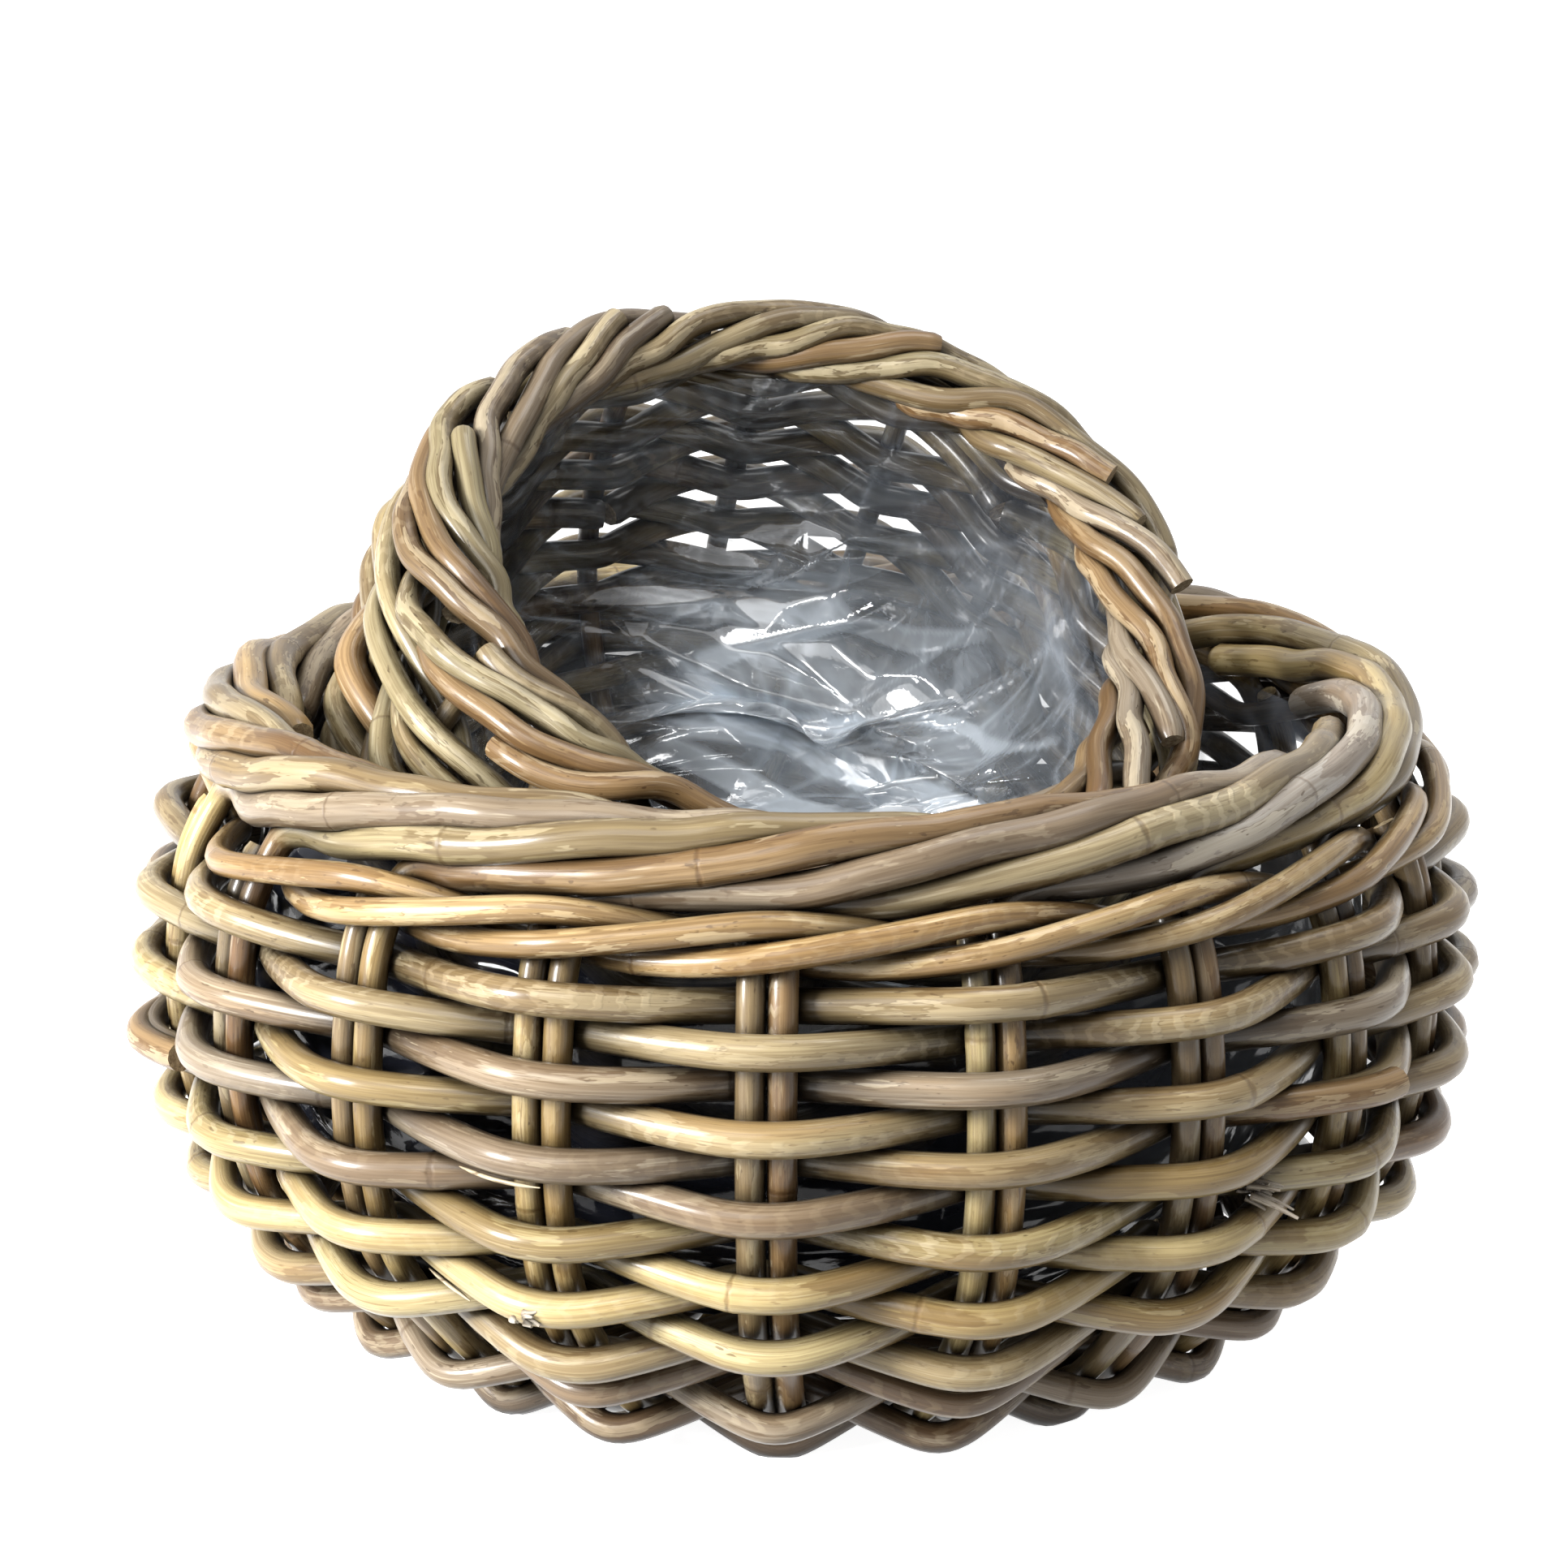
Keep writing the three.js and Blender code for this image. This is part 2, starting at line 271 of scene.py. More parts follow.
class CaneColours(bpy.types.PropertyGroup):
    """Colours of the canes, the film and the stage"""

    taupe: colour("Taupe", "Weathered grey-brown cane", (0.415, 0.33, 0.182))
    mauve: colour("Mauve grey", "Weathered cane with a cool cast", (0.385, 0.312, 0.22))
    straw: colour("Straw", "Pale dry cane", (0.55, 0.43, 0.2))
    pale: colour("Pale straw", "The palest cane", (0.66, 0.53, 0.262))
    honey: colour("Honey", "Golden peeled cane", (0.48, 0.335, 0.155))
    brown: colour("Brown", "Cane with its bark on", (0.33, 0.215, 0.1))
    umber: colour("Umber", "Darkest cane, at the foot", (0.25, 0.18, 0.112))
    weathered: colour("Weathered white", "Cane worn to bare grey-white fibres", (0.60, 0.55, 0.48))
    olive: colour("Olive grey", "Greenish grey cane", (0.4, 0.33, 0.18))
    scar: colour("Bark scar", "Pale mark left by a leaf sheath", (0.72, 0.62, 0.42))
    film: colour("Film", "Clear liner film", (0.20, 0.22, 0.26))
    # Also painted light: the film takes this colour where it bunches on its lit half.
    milk: colour("Creased film", "Film where it is creased or lies double", (0.84, 0.92, 1.0))
    floor: colour("Floor", "Surface the baskets stand on", (0.14, 0.14, 0.14))


def smooth_through(knots, values):
    """A curve through the values that never swings past them, with its slope."""
    h = np.diff(knots)
    d = np.diff(values) / h
    m = np.empty(len(knots))
    m[0], m[-1] = d[0], d[-1]
    for i in range(1, len(d)):
        a, b = 2 * h[i] + h[i - 1], h[i] + 2 * h[i - 1]
        m[i] = (a + b) / (a / d[i - 1] + b / d[i]) if d[i - 1] * d[i] > 0 else 0

    def at(x):
        i = np.clip(np.searchsorted(knots, x) - 1, 0, len(h) - 1)
        t = (x - knots[i]) / h[i]
        y0, y1, m0, m1 = values[i], values[i + 1], m[i] * h[i], m[i + 1] * h[i]
        value = y0 + t * (m0 + t * (3 * (y1 - y0) - 2 * m0 - m1 + t * (2 * (y0 - y1) + m0 + m1)))
        slope = (m0 + t * (2 * (3 * (y1 - y0) - 2 * m0 - m1) + 3 * t * (2 * (y0 - y1) + m0 + m1))) / h[i]
        return value, slope

    return at


def along(points):
    """How far along the path each of its points is."""
    return np.concatenate([[0], np.cumsum(np.linalg.norm(np.diff(points, axis=0), axis=1))])


def evenly(points):
    """The same path with its points an even distance apart."""
    points = np.asarray(points, float)
    gone = along(points)
    want = np.linspace(0, gone[-1], max(int(gone[-1] / RING_SPACING), 4) + 1)
    return np.stack([np.interp(want, gone, points[:, k]) for k in range(3)], 1)


def eased(points, passes):
    """The same path with its corners rounded."""
    points = np.array(points, float)
    for _ in range(passes):
        points[1:-1] = (points[:-2] + 2 * points[1:-1] + points[2:]) / 4
    return points


def step_between(x, low, high):
    """A smooth step from 0 at low to 1 at high."""
    t = np.clip((x - low) / (high - low), 0, 1)
    return t * t * (3 - 2 * t)


def wander(rng, x, amount, wavelength):
    """A slow unevenness along a cane."""
    total = 0
    for share in WANDER_SHARES:
        phase = 2 * math.pi * x * (1 + rng.random()) / (wavelength * share)
        total = total + share * np.sin(phase + rng.random() * 7)
    return amount * total / WANDER_PEAK


class Basket:
    """One basket's shape and where it stands."""

    def __init__(self, label):
        scene = bpy.context.scene
        self.label = label
        self.body = label + "_basket"
        self.paired = label == "large"
        self.sizes = z = scene.large_basket_sizes if self.paired else scene.small_basket_sizes
        self.weave, self.border = WEAVES[label], BORDERS[label]
        self.each_way = self.weave.each_way
        self.arms = 4 * self.each_way
        self.step = 2 * math.pi / self.arms
        self.first_arm = 0 if self.each_way % 2 else self.step / 2
        self.pair_offset = z.upright / 2 + TOUCH_GAP / 2 if self.paired else 0
        self.radii, self.heights = np.array(z.radii), np.array(z.heights)
        self.arcs = np.concatenate([[0], np.cumsum(np.hypot(np.diff(self.radii), np.diff(self.heights)))])
        self.length = self.arcs[-1]
        self.radius_at = smooth_through(self.arcs, self.radii)
        self.height_at = smooth_through(self.arcs, self.heights)
        self.wale_rise = z.wale + WALE_GAP
        self.wale_low = self.length - z.upright / 2 + z.wale_lift - self.wale_rise - z.wale / 2
        self.first_row = self.length - z.first_row
        place = Matrix.Rotation(LARGE_TURN, 4, "Z")
        if not self.paired:
            place = (
                Matrix.Translation(MOUTH)
                @ Matrix.Rotation(MOUTH_TURN, 4, "Z")
                @ Matrix.Rotation(MOUTH_TIP, 4, "X")
                @ Matrix.Translation((0, 0, -MOUTH_HEIGHT))
            )
        self.turn, self.shift = np.array(place.to_3x3()), np.array(place.translation)

    def point(self, s, angle, outwards=0, sideways=0):
        """Points on the wall's middle, by the way up it and round it, moved square to it and sideways."""
        s, angle = np.asarray(s, float), np.asarray(angle, float)
        r, dr = self.radius_at(s)
        z, dz = self.height_at(s)
        n = np.hypot(dr, dz)
        r = r + outwards * dz / n
        z = z - outwards * dr / n
        cos, sin = np.cos(angle), np.sin(angle)
        x, y = r * cos - sideways * sin, r * sin + sideways * cos
        return np.stack(np.broadcast_arrays(x, y, z), -1)

    def placed(self, points):
        """Points of the basket where it stands."""
        return np.asarray(points) @ self.turn.T + self.shift

    def holds(self, points, clear):
        """Which points are inside the basket's outer skin, moved out by clear."""
        local = (np.asarray(points) - self.shift) @ self.turn
        r, h = np.hypot(local[:, 0], local[:, 1]), local[:, 2]
        low, high = self.heights[0] - clear, self.heights[-1] + 0.03
        skin = np.interp(h, np.r_[low, self.heights[1:], high],
                         np.r_[self.radii[1] * 0.9, self.radii[1:], self.radii[-1]])
        return (h > low) & (h < high) & (r < skin + clear)

    def pass_height(self, diameter):
        """How far from the wall's middle a cane passes the uprights."""
        return ((self.sizes.upright + diameter) / 2 + TOUCH_GAP) * self.weave.bite

    def upright_path(self, across, index, side):
        """One upright's whole length, from the end of one arm over the base to the end of the other."""
        z, border = self.sizes, self.border
        mat_pitch = 2 * z.upright + 3 * TOUCH_GAP if self.paired else z.upright + 2 * TOUCH_GAP
        mat_half = self.each_way * mat_pitch / 2 + z.upright / 2
        rise = z.upright / 2 + TOUCH_GAP / 2
        lane = index - (self.each_way - 1) / 2
        layer = 1 if across else -1
        turn = across * math.pi / 2
        ends = []
        for angle, way in ((turn + math.pi - lane * self.step, -1), (turn + lane * self.step, 1)):
            tail = not self.paired or way * side == border.tail_turn
            top = self.length - (0 if tail else STUB_DROP)
            s = np.concatenate([[1.5 * mat_half], np.linspace(self.arcs[1] * FAN_END, top, ARM_POINTS)])
            down = np.concatenate([[layer * rise], np.zeros(ARM_POINTS)])
            arm = list(self.point(s, angle, down, way * side * self.pair_offset))
            number = round((angle - self.first_arm) / self.step) % self.arms
            rope = 0.0
            if tail:
                own = random.Random(round(angle * 1000))
                short = 0 if number % 2 else border.short
                strand = self.strand(angle, border.run - STRAND_TRIM - short - own.uniform(0, border.ragged))
                rope = along(strand)[-1]
                arm += list(strand)
            ends.append((arm, rope, number))
        mat = [
            (end * mat_half, lane * mat_pitch + side * self.pair_offset, z.heights[0] - layer * rise)
            for end in (-1, 1)
        ]
        cos, sin = math.cos(turn), math.sin(turn)
        mat = [(x * cos - y * sin, x * sin + y * cos, h) for x, y, h in mat]
        path = list(reversed(ends[0][0])) + mat + ends[1][0]
        return eased(evenly(path), 7), ends[0][1:], ends[1][1:]

    def strand(self, angle, end):
        """A strand of the border rope, from the top of its upright to its end."""
        z, border = self.sizes, self.border
        t = np.linspace(STRAND_START, end, STRAND_POINTS)
        cane = z.upright if self.paired else z.strand
        reach = cane / 2 / math.sin(border.twist / 2 / border.strands) * border.slack
        turn = -math.pi / 2 + border.lay * border.twist * t
        reach = reach + border.flare * step_between(t, end - FLARE_RUN, end)
        own = random.Random(round(angle * 1000) + 5)
        reach = reach + wander(own, t, border.stray, STRAY_WAVE)
        turn = turn + wander(own, t, border.sway, SWAY_WAVE)
        a = angle + border.tail_turn * self.step * t
        across, rise = reach * np.cos(turn), reach * np.sin(turn)
        if not self.paired:
            tight = 1 - ROPE_TIGHTENING * np.clip(np.sin(a), 0, 1)
            rise = ROPE_FLATNESS * rise * tight
            across = across * tight * np.where(across < 0, ROPE_INWARDS, 1)
            across = across - ROPE_SAG * np.clip(np.cos(a - SAG_SIDE), 0, 1) ** 2
        r = z.border_radius + across
        return np.stack([r * np.cos(a), r * np.sin(a), z.border_height + rise], -1)

    def laid_in(self, number):
        """The strand that is laid into the small border between two uprights."""
        angle = self.first_arm + (number + 0.5) * self.step
        own = random.Random(300 + number)
        return evenly(self.strand(angle, self.border.run - own.choice(LAID_IN_TRIMS))), own

    def bent(self, u, s):
        """How far out a weaver is: inside at even spacings, 1 at odd ones, straight between its elbows."""
        flat = (self.pair_offset + self.sizes.upright / 3) / self.radius_at(s)[0] / self.step
        past = np.abs((u + 1) % 2 - 1)
        run = np.clip(past / np.maximum(1 - flat, SHORTEST_RUN), 0, 1)
        return eased(-INSIDE_REACH + (1 + INSIDE_REACH) * run, BEND_PASSES) * BEND_STRETCH

    def row_path(self, row, rng):
        """One wall row, and how far out it is along its way."""
        z = self.sizes
        seam = SEAM_STEP * row + 1
        s = self.first_row - row * z.row_pitch
        ends = SEAM_GAP / 2 / float(self.radius_at(s)[0]) / self.step
        u = np.linspace(ends, self.arms - ends, self.arms * ROW_POINTS)
        angle = self.first_arm + (seam + u) * self.step
        out = self.bent(u, np.full_like(u, s)) * self.pass_height(z.weaver)
        path = evenly(self.point(s + wander(rng, u, *ROW_DRIFT), angle, out))
        r = np.hypot(path[:, 0], path[:, 1])
        return path, step_between(r, r.min(), r.max())

    def base_path(self):
        """The cane of the foot and the base, from its outer end inwards."""
        z = self.sizes
        last = self.first_row - (WALL_ROWS - 1) * z.row_pitch
        top = last - (z.weaver + z.base_cane) / 2 - TOUCH_GAP
        turns = int((top - z.base_inner) / z.foot_pitch)
        far = turns * self.arms
        u = np.linspace(0, far, far * BASE_POINTS)
        s = top - z.foot_pitch * u / self.arms
        # The cane changes side once a turn, so that each turn lies in the gaps of the one before.
        turn = np.floor(u / self.arms)
        into = u - turn * self.arms
        phase = u + turn - np.clip(0.5 - into, 0, 1) * (turn > 0)
        out = -self.bent(phase, s) * (self.pass_height(z.base_cane) + TOUCH_GAP)
        return eased(evenly(self.point(s, self.first_arm + u * self.step, out)), 3)

    def wale_path(self, k, rng):
        """One of the canes that are twined under the border."""
        spans = WALE_CANES * (self.arms // WALE_CANES)
        high = self.pass_height(self.sizes.wale) * self.weave.wale_bulge
        keys = [
            (i + du, self.wale_low + rise * self.wale_rise, out * high)
            for i in range(0, spans + 1, WALE_CANES) for du, rise, out in WALE_STEPS if i + du <= spans
        ]
        keys_u, keys_s, keys_out = zip(*keys)
        u = np.linspace(0, spans, spans * ROW_POINTS)
        s, out = np.interp(u, keys_u, keys_s), np.interp(u, keys_u, keys_out)
        s, out, turned = eased(np.stack([s, out, u], 1), WALE_PASSES).T
        angle = self.first_arm + (k + WALE_START + turned) * self.step
        return evenly(self.point(s + wander(rng, u, *WALE_DRIFT), angle, out * BEND_STRETCH))


def lone(obj):
    """Only this object selected and active."""
    bpy.ops.object.select_all(action="DESELECT")
    obj.select_set(True)
    bpy.context.view_layer.objects.active = obj


def swept_cane(name, path, diameter, girth):
    """A round cane along the path: a curve given its thickness, then made a mesh of even rings."""
    bpy.ops.object.select_all(action="DESELECT")
    bpy.ops.curve.primitive_nurbs_path_add()
    obj = bpy.context.object
    obj.name = name
    curve = obj.data
    curve.splines.clear()
    spline = curve.splines.new("POLY")
    spline.points.add(len(path) - 1)
    spline.points.foreach_set("co", np.c_[path, np.ones(len(path))].ravel())
    spline.points.foreach_set("radius", girth)
    curve.bevel_depth = diameter / 2
    curve.bevel_resolution = (CANE_SIDES - 4) // 2
    curve.use_fill_caps = False
    curve.twist_mode = "MINIMUM"
    bpy.ops.object.convert(target="MESH")
    obj = bpy.context.object
    obj.data.name = name
    if len(obj.data.vertices) != len(path) * CANE_SIDES:
        raise RuntimeError(name + ": the cane's rings aren't even")
    return obj


def point_attribute(mesh, name, kind, values):
    layer = mesh.attributes.new(name, kind, "POINT")
    field = "color" if kind == "FLOAT_COLOR" else "vector"
    layer.data.foreach_set(field, np.asarray(values, np.float32).ravel())


def cane_attributes(mesh, lengthways, diameter, tint, marks):
    """Writes a swept cane's straightened-out coordinates, its colour along the way and its marks."""
    rings = len(lengthways)
    turn = np.tile(np.arange(CANE_SIDES) * 2 * math.pi / CANE_SIDES, rings)
    ring = np.repeat(np.arange(rings), CANE_SIDES)
    radius = diameter / 2
    point_attribute(mesh, "cane_way", "FLOAT_VECTOR",
                    np.c_[lengthways[ring], radius * np.cos(turn), radius * np.sin(turn)])
    tint = np.broadcast_to(tint, (rings, 3))
    point_attribute(mesh, "cane_tint", "FLOAT_COLOR", np.c_[tint[ring], np.ones(len(ring))])
    point_attribute(mesh, "cane_marks", "FLOAT_VECTOR", np.broadcast_to(marks, (len(ring), 3)))


def join_piece(obj, path, diameter, tint, girth):
    """Sweeps a loose fibre, a splice or a laid-in strand and joins it to its cane."""
    piece = swept_cane(obj.name + "_loose", path, diameter, girth)
    cane_attributes(piece.data, along(path), diameter, tint, LOOSE_MARKS)
    lone(obj)
    piece.select_set(True)
    bpy.ops.object.join()


def finished_cane(basket, name, path, diameter, tint, rng, marks, girth=1, floor=None, loose=()):
    """Sweeps a cane, joins its loose pieces, closes its ends, attaches it to its basket and hides the part it
    replaces.
    """
    node = basket.label + name
    gone = along(path)
    start = rng.uniform(0, 40)
    stretch = rng.uniform(0.8, 1.25)
    lengthways = start + gone * stretch
    to_node = np.abs((lengthways / NODE_PITCH + 0.5) % 1 - 0.5) * NODE_PITCH
    swell = NODE_SWELL * np.exp(-((to_node / NODE_WIDTH) ** 2))
    thick = girth * (1 + wander(rng, gone, *GIRTH_DRIFT) + swell)
    from_end = np.minimum(gone, gone[-1] - gone) / diameter
    thick *= 1 - END_TAPER * np.clip(1 - from_end / END_REACH, 0, 1) ** 2
    obj = swept_cane(node + "_woven", path, diameter, thick)
    mesh = obj.data
    if floor is not None:
        co = np.empty(len(mesh.vertices) * 3)
        mesh.vertices.foreach_get("co", co)
        co[2::3] = np.maximum(co[2::3], floor)
        mesh.vertices.foreach_set("co", co)
    cane_attributes(mesh, lengthways, diameter, tint, marks)
    for piece in loose:
        join_piece(obj, *piece)
    lone(obj)
    bpy.ops.object.mode_set(mode="EDIT")
    bpy.ops.mesh.select_all(action="SELECT")
    bpy.ops.mesh.fill_holes(sides=0)
    bpy.ops.mesh.select_all(action="SELECT")
    bpy.ops.mesh.normals_make_consistent(inside=False)
    bpy.ops.object.mode_set(mode="OBJECT")
    bpy.ops.object.shade_smooth_by_angle(angle=SMOOTH_ANGLE)
    mesh.materials.clear()
    mesh.materials.append(cane_material())
    mesh.materials.append(cut_end_material())
    # The rings are joined by quads, so the faces with more corners are the cut ends.
    for face in mesh.polygons:
        face.material_index = 1 if len(face.vertices) > 4 else 0
    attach(obj, basket.body)
    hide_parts(node)


def one_of(names, rng):
    """A colour from those named, as one cane has it."""
    return shade_of(rng.choice(names), rng)


def shade_of(name, rng):
    """One cane's own colour: the named one, a little lighter or darker and warmer or cooler."""
    base = np.array(getattr(bpy.context.scene.cane_colours, name))
    light = rng.uniform(1 - LIGHT_SPREAD, 1 + LIGHT_SPREAD)
    warm = rng.uniform(-WARM_SPREAD, WARM_SPREAD)
    return np.clip(base * light * np.array([1 + warm, 1, 1 - 1.5 * warm]), 0.02, 0.95)


class Nodes:
    """Adds and links nodes in one material, or in the world."""

    def __init__(self, owner):
        self.owner = owner
        owner.use_nodes = True
        self.tree = owner.node_tree
        self.tree.nodes.clear()

    def add(self, kind, inputs=None, **settings):
        node = self.tree.nodes.new(kind)
        for key, value in settings.items():
            setattr(node, key, value)
        for key, value in (inputs or {}).items():
            self.put(node.inputs[key], value)
        return node

    def put(self, socket, value):
        if isinstance(value, bpy.types.NodeSocket):
            self.tree.links.new(value, socket)
        else:
            socket.default_value = value

    def math(self, operation, a, b=0.0, clamp=False):
        return self.add("ShaderNodeMath", {0: a, 1: b}, operation=operation, use_clamp=clamp).outputs[0]

    def times(self, a, b):
        return self.math("MULTIPLY", a, b)

    def plus(self, a, b, clamp=False):
        return self.math("ADD", a, b, clamp=clamp)

    def ramp(self, value, low, high, to_low=0.0, to_high=1.0):
        return self.add("ShaderNodeMapRange", {
            "Value": value, "From Min": low, "From Max": high, "To Min": to_low, "To Max": to_high,
        }, interpolation_type="SMOOTHSTEP").outputs["Result"]

    def mix(self, factor, a, b, blend="MIX"):
        node = self.add("ShaderNodeMix", data_type="RGBA", blend_type=blend)
        for socket, value in ((node.inputs[0], factor), (node.inputs[6], a), (node.inputs[7], b)):
            self.put(socket, value if isinstance(value, (bpy.types.NodeSocket, float, int)) else (*value, 1))
        return node.outputs[2]

    def darker(self, colour, by):
        return self.mix(1.0, colour, by, "MULTIPLY")

    def noise(self, vector, scale, detail=2.0, roughness=0.5):
        """Noise that is stretched: scale is turns per metre along the cane and across it."""
        stretched = self.add("ShaderNodeVectorMath", {0: vector, 1: (scale[0], scale[1], scale[1])},
                             operation="MULTIPLY").outputs[0]
        node = self.add("ShaderNodeTexNoise",
                        {"Vector": stretched, "Scale": 1.0, "Detail": detail, "Roughness": roughness})
        return node.outputs["Fac"]

    def attribute(self, name, output):
        return self.add("ShaderNodeAttribute", attribute_name=name).outputs[output]

    def looked_at(self):
        """1 on rays that are seen, straight, mirrored or through film, and 0 on those that light."""
        path = self.add("ShaderNodeLightPath").outputs
        return self.math("MAXIMUM", path["Is Camera Ray"], self.math(
            "MAXIMUM", path["Is Glossy Ray"], path["Is Transmission Ray"]))

    def surface(self, shader, output="ShaderNodeOutputMaterial"):
        self.add(output, {"Surface": shader})
        return self.owner


def cane_material():
    """Weathered cane: streaks, pale bark scars, dark joint rings and flecks under a worn satin skin."""
    if "weathered_cane" in bpy.data.materials:
        return bpy.data.materials["weathered_cane"]
    n = Nodes(bpy.data.materials.new("weathered_cane"))
    way = n.attribute("cane_way", "Vector")
    tint = n.attribute("cane_tint", "Color")
    marks = n.add("ShaderNodeSeparateXYZ", {0: n.attribute("cane_marks", "Vector")}).outputs
    lengthways = n.add("ShaderNodeSeparateXYZ", {0: way}).outputs[0]

    # Slow changes of tone along the cane and round it, greyer in places.
    cloud = n.noise(way, (16, 150), 3.0)
    weather = n.noise(way, (7, 90), 2.0)
    toned = n.mix(n.ramp(cloud, 0.25, 0.78), n.darker(tint, (0.60, 0.56, 0.52)), tint)
    grey = n.darker(tint, (0.86, 0.88, 0.92))
    toned = n.mix(n.ramp(weather, 0.50, 0.72, 0.0, 0.75), toned, grey)

    # Brown stains.
    stain = n.ramp(n.noise(way, (10, 70), 3.0, 0.6), 0.56, 0.70, 0.0, 0.6)
    toned = n.mix(stain, toned, n.darker(tint, (0.74, 0.60, 0.44)))

    # Long fibres.
    fibre = n.noise(way, (26, 1300), 3.0, 0.6)
    toned = n.mix(n.ramp(fibre, 0.36, 0.62, 0.58, 0.0), toned, n.darker(tint, (0.42, 0.36, 0.30)))
    pale_fibre = n.noise(way, (40, 900), 2.0)
    toned = n.mix(n.ramp(pale_fibre, 0.60, 0.74, 0.0, 0.35), toned, n.mix(0.55, tint, (0.78, 0.70, 0.52)))

    # Bark scars: bands of pale crescents across the cane, in patches.
    wobble = n.noise(way, (40, 240), 2.0)
    band = n.math("SINE", n.plus(n.times(lengthways, 900.0), n.times(wobble, 12.0)))
    patch = n.ramp(n.noise(way, (13, 80), 2.0), 0.50, 0.58)
    scar = n.times(n.times(n.ramp(band, 0.2, 0.8), patch), marks[0])
    colours = bpy.context.scene.cane_colours
    toned = n.mix(n.times(scar, 0.34), toned, tuple(colours.scar))

    # Long patches of darker bark with a ragged end.
    coat = n.noise(way, (11, 60), 5.0, 0.6)
    toned = n.mix(n.ramp(coat, 0.505, 0.518, 0.0, 0.85), toned, n.darker(toned, (0.62, 0.55, 0.48)))

    # Patches where the bark has come away, paler, with a dark broken lip; short dark dashes along the fibres.
    bark = n.noise(way, (26, 170), 4.0, 0.62)
    peeled = n.times(n.ramp(bark, 0.570, 0.590), marks[1])
    toned = n.mix(n.times(peeled, 0.55), toned, n.mix(0.35, tint, tuple(colours.scar)))
    lip = n.ramp(n.math("ABSOLUTE", n.math("SUBTRACT", bark, 0.578)), 0.0, 0.012, 0.8, 0.0)
    lip = n.times(lip, n.ramp(n.noise(way, (140, 500), 1.0), 0.45, 0.60))
    dash = n.ramp(n.noise(way, (85, 1700), 2.0), 0.60, 0.70, 0.0, 0.7)
    worn = n.times(n.math("MAXIMUM", lip, dash), marks[1])
    toned = n.mix(worn, toned, n.darker(tint, (0.30, 0.24, 0.18)))

    # Joint rings and flecks.
    joint = n.math("FRACT", n.plus(n.times(lengthways, 1 / NODE_PITCH), 0.5))
    spot = n.math("ABSOLUTE", n.math("SUBTRACT", joint, 0.5))
    ring_edge = n.plus(spot, n.times(n.noise(way, (60, 420), 1.0), 0.008))
    ring = n.ramp(ring_edge, 0.0045, 0.0105, 1.0, 0.0)
    toned = n.mix(n.times(ring, 0.62), toned, n.darker(tint, (0.30, 0.23, 0.17)))
    fleck = n.ramp(n.noise(way, (210, 620), 2.0), 0.66, 0.73)
    fleck = n.times(fleck, marks[1])
    toned = n.mix(n.times(fleck, 0.8), toned, n.darker(tint, (0.20, 0.15, 0.11)))

    # Painted shade: where canes lie close together, ambient occlusion darkens the colour almost to black.
    unshaded = n.add("ShaderNodeAmbientOcclusion", {"Distance": 0.018}, samples=6).outputs["AO"]
    toned = n.mix(n.ramp(unshaded, 0.12, 0.90), n.darker(toned, (0.05, 0.039, 0.029)), toned)

    # The fibres, scars and joints stand up a little, and are rougher than the skin.
    height = n.plus(n.times(fibre, 0.5), n.times(scar, 0.35))
    height = n.plus(height, n.times(ring, -0.5))
    bump = n.add("ShaderNodeBump", {"Height": height, "Strength": 0.5, "Distance": 0.0006})
    rough = n.plus(n.times(fibre, 0.16), n.times(scar, 0.10))
    rough = n.plus(rough, marks[2])
    shader = n.add("ShaderNodeBsdfPrincipled", {
        "Base Color": toned, "Roughness": rough, "Normal": bump.outputs[0],
        "Specular IOR Level": 0.2, "Coat Weight": 0.4, "Coat Roughness": 0.2,
    })
    return n.surface(shader.outputs[0])


def cut_end_material():
    """A sawn cane end: pale pith with grain and open pores."""
    if "cut_cane_end" in bpy.data.materials:
        return bpy.data.materials["cut_cane_end"]
    n = Nodes(bpy.data.materials.new("cut_cane_end"))
    place = n.add("ShaderNodeTexCoord").outputs["Object"]
    tint = n.attribute("cane_tint", "Color")
    pore = n.add("ShaderNodeTexVoronoi", {"Vector": place, "Scale": 2200.0}).outputs["Distance"]
    grain = n.add("ShaderNodeTexNoise", {"Vector": place, "Scale": 700.0, "Detail": 3.0}).outputs["Fac"]
    pith = n.mix(0.5, tint, (0.52, 0.42, 0.27))
    pith = n.mix(n.ramp(grain, 0.3, 0.7), n.darker(pith, (0.5, 0.45, 0.4)), pith)
    pith = n.mix(n.ramp(pore, 0.12, 0.30, 0.8, 0.0), pith, (0.07, 0.05, 0.035))
    bump = n.add("ShaderNodeBump", {"Height": pore, "Strength": 0.5, "Distance": 0.0004})
    shader = n.add("ShaderNodeBsdfPrincipled", {
        "Base Color": pith, "Roughness": 0.8, "Normal": bump.outputs[0],
    })
    return n.surface(shader.outputs[0])


